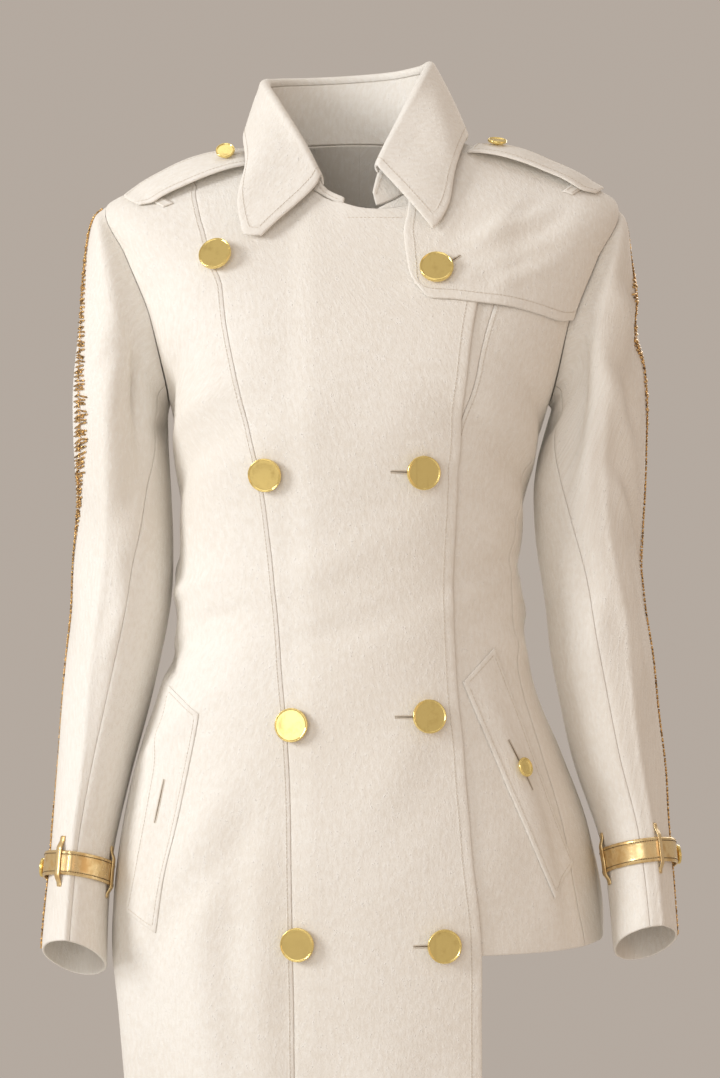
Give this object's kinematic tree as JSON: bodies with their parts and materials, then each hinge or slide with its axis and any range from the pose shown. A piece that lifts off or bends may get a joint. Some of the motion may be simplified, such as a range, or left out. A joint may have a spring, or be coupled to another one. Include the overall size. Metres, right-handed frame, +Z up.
{
  "type": "trench coat",
  "caption": "Double-breasted suede trench coat as worn, long right front over a short left one, with storm flap, shoulder straps, turned-down collar, slanted pocket welts and strapped cuffs.",
  "frame": {"origin": "between the wearer's shoulders, at the height where the shoulder seams meet the collar", "axes": "+Z up, the front of the coat faces -Y, +X is the wearer's left"},
  "size_m": [0.5098, 0.2476, 1.0047],
  "materials": {
    "suede_cream": "cream suede, matt with a short nap",
    "gold_leather": "metallic gold leather, satin",
    "gold_metal": "polished gold-coloured metal"
  },
  "bodies": {
    "root": {"back_left": "suede_cream", "back_right": "suede_cream", "button_left_1": "gold_metal", "button_left_2": "gold_metal", "button_left_3": "gold_metal", "button_left_4": "gold_metal", "button_right_1": "gold_metal", "button_right_2": "gold_metal", "button_right_3": "gold_metal", "button_right_4": "gold_metal", "collar_leaf": "suede_cream", "collar_stand": "suede_cream", "cuff_button_left": "gold_metal", "cuff_button_right": "gold_metal", "cuff_keeper_inner_left": "gold_leather", "cuff_keeper_inner_right": "gold_leather", "cuff_keeper_outer_left": "gold_leather", "cuff_keeper_outer_right": "gold_leather", "cuff_strap_left": "gold_leather", "cuff_strap_right": "gold_leather", "epaulette_button_left": "gold_metal", "epaulette_button_right": "gold_metal", "epaulette_left": "suede_cream", "epaulette_loop_left": "suede_cream", "epaulette_loop_right": "suede_cream", "epaulette_right": "suede_cream", "front_left": "suede_cream", "front_right": "suede_cream", "pocket_button_left": "gold_metal", "side_front_left": "suede_cream", "side_front_right": "suede_cream", "storm_flap": "suede_cream", "under_sleeve_left": "suede_cream", "under_sleeve_right": "suede_cream", "upper_sleeve_left": "suede_cream", "upper_sleeve_right": "suede_cream", "welt_left": "suede_cream", "welt_right": "suede_cream"}
  },
  "joints": []
}
